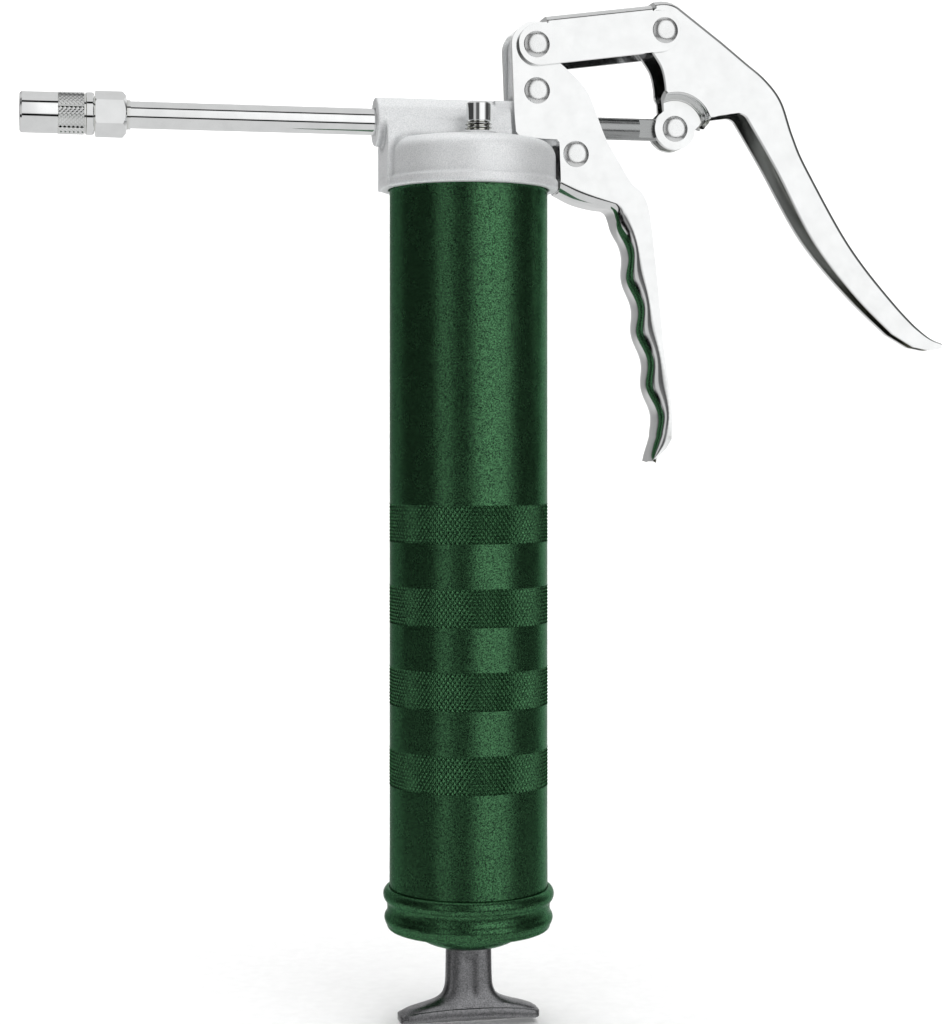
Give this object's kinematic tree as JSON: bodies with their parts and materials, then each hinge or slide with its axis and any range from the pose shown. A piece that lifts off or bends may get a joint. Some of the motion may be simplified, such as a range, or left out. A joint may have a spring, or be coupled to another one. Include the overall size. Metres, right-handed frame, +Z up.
{
  "type": "grease gun",
  "caption": "Pistol-grip lever grease gun: cast pump head, screw-on cartridge barrel with spring follower and T-handle rod, rigid pipe and jawed nipple coupler.",
  "frame": {"origin": "centre of the nipple socket's mouth, at the free end of the coupler, on the pump axis", "axes": "+X along the delivery pipe and pump towards the lever, +Z up so the barrel hangs along -Z, +Y to the gun's far side"},
  "size_m": [0.3366, 0.064, 0.3666],
  "materials": {
    "cast_aluminium": "fine cast, satin",
    "chrome_sheet": "bright plated stamped steel",
    "chrome_turned": "bright plated, turned and knurled",
    "green_paint": "satin baked enamel",
    "plunger_steel": "ground",
    "spring_steel": "oiled wire",
    "zinc_steel": "zinc plated",
    "pewter_cast": "dark metallic die casting",
    "black_rubber": "moulded nitrile"
  },
  "bodies": {
    "head": {"pump_head": "cast_aluminium", "head_gasket": "black_rubber", "plunger_packing": "black_rubber", "packing_nut": "zinc_steel", "outlet_spring": "spring_steel", "extension_pipe": "chrome_turned", "coupler_body": "chrome_turned", "jaw_spring": "spring_steel", "ball_spring": "spring_steel", "grip_frame": "chrome_sheet", "frame_rivets": "chrome_sheet", "link_pivot_pin": "chrome_sheet"},
    "link": {"pump_link": "chrome_sheet", "lever_pivot_pin": "chrome_sheet", "pivot_bush": "zinc_steel", "return_spring": "spring_steel"},
    "lever": {"lever": "chrome_sheet", "plunger_pin": "chrome_sheet"},
    "plunger": {"plunger": "plunger_steel"},
    "outlet_ball": {"outlet_ball": "plunger_steel"},
    "bleeder": {"bleeder_valve": "chrome_turned"},
    "sleeve": {"coupler_sleeve": "chrome_turned"},
    "jaws": {"coupler_jaws": "spring_steel", "jaw_washer": "zinc_steel", "coupler_seal": "black_rubber"},
    "coupler_ball": {"coupler_ball": "plunger_steel"},
    "barrel": {"barrel": "green_paint", "barrel_cap": "green_paint", "rod_guide": "zinc_steel", "follower_spring": "spring_steel"},
    "follower": {"follower_cup": "black_rubber", "follower_plates": "zinc_steel"},
    "rod": {"follower_rod": "plunger_steel", "rod_nut": "zinc_steel", "t_handle": "pewter_cast"}
  },
  "joints": [
    {"name": "lever_squeeze", "type": "hinge", "parent": "link", "child": "lever", "pos_m": [0.22745, 0, 0.0345], "axis": [0, 1, 0], "range_deg": [0, 28], "stiffness_Nm_per_rad": 1.2, "springref_deg": -20.05, "deforming": ["return_spring"]},
    {"name": "link_swing", "type": "hinge", "parent": "head", "child": "link", "pos_m": [0.18, 0, 0.0278], "axis": [0, 1, 0], "range_deg": [0, 1.35]},
    {"name": "plunger_stroke", "type": "slide", "parent": "head", "child": "plunger", "axis": [-1, 0, 0], "range_m": [0, 0.01765]},
    {"name": "barrel_unscrew", "type": "slide", "parent": "head", "child": "barrel", "axis": [0, 0, -1], "range_m": [0, 0.03]},
    {"name": "follower_travel", "type": "slide", "parent": "barrel", "child": "follower", "axis": [0, 0, -1], "range_m": [0, 0.185], "stiffness_N_per_m": 250, "springref_m": -0.06, "deforming": ["follower_spring"]},
    {"name": "handle_turn", "type": "hinge", "parent": "follower", "child": "rod", "pos_m": [0.1574, 0, -0.3], "axis": [0, 0, 1], "range_deg": [0, 90]},
    {"name": "bleeder_turn", "type": "hinge", "parent": "head", "child": "bleeder", "pos_m": [0.1574, -0.0175, 0], "axis": [0, 0, 1], "range_deg": [0, 720]},
    {"name": "sleeve_turn", "type": "hinge", "parent": "head", "child": "sleeve", "pos_m": [0.012, 0, 0], "axis": [1, 0, 0], "range_deg": [0, 360]},
    {"name": "jaw_slide", "type": "slide", "parent": "head", "child": "jaws", "axis": [1, 0, 0], "range_m": [0, 0.001], "stiffness_N_per_m": 300, "springref_m": -0.002, "deforming": ["jaw_spring"]},
    {"name": "outlet_lift", "type": "slide", "parent": "head", "child": "outlet_ball", "axis": [-1, 0, 0], "range_m": [0, 0.0008], "stiffness_N_per_m": 60, "springref_m": -0.002, "deforming": ["outlet_spring"]},
    {"name": "check_lift", "type": "slide", "parent": "head", "child": "coupler_ball", "axis": [-1, 0, 0], "range_m": [0, 0.0006], "stiffness_N_per_m": 40, "springref_m": -0.002, "deforming": ["ball_spring"]}
  ],
  "couplings": [
    {"joint": "link_swing", "follows": "lever_squeeze", "ratio": 0.041},
    {"joint": "plunger_stroke", "follows": "lever_squeeze", "m_per_rad": 0.0357}
  ]
}
